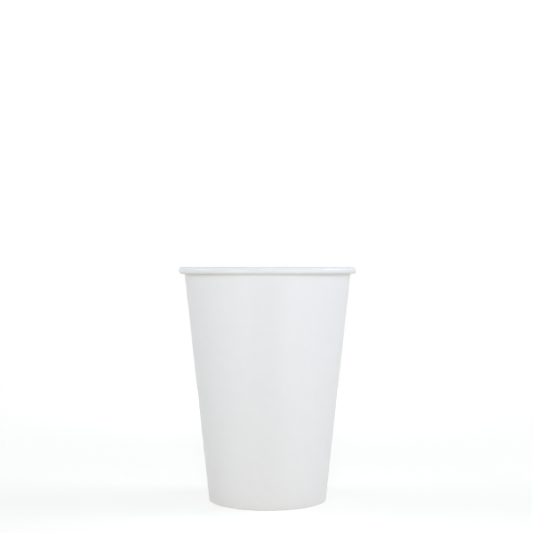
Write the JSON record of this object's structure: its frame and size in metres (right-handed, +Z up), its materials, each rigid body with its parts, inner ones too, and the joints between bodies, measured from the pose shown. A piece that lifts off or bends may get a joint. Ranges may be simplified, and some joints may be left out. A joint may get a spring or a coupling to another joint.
{
  "type": "paper coffee cup",
  "caption": "Tapered single-wall paper cup with a rolled rim, a lapped side seam and a recessed bottom disc held in a folded hem.",
  "frame": {"origin": "centre of the foot ring, on the surface that the cup stands on", "axes": "+Z up along the cup's axis, towards the mouth; the side seam is at +Y; +X to the right seen from the front"},
  "size_m": [0.09, 0.09, 0.118],
  "materials": {
    "wall_board": "white coated paperboard, soft semi-matt sheen",
    "disc_board": "white coated paperboard, soft semi-matt sheen"
  },
  "bodies": {
    "root": {"side_wall": "wall_board", "bottom_disc": "disc_board"}
  },
  "joints": []
}
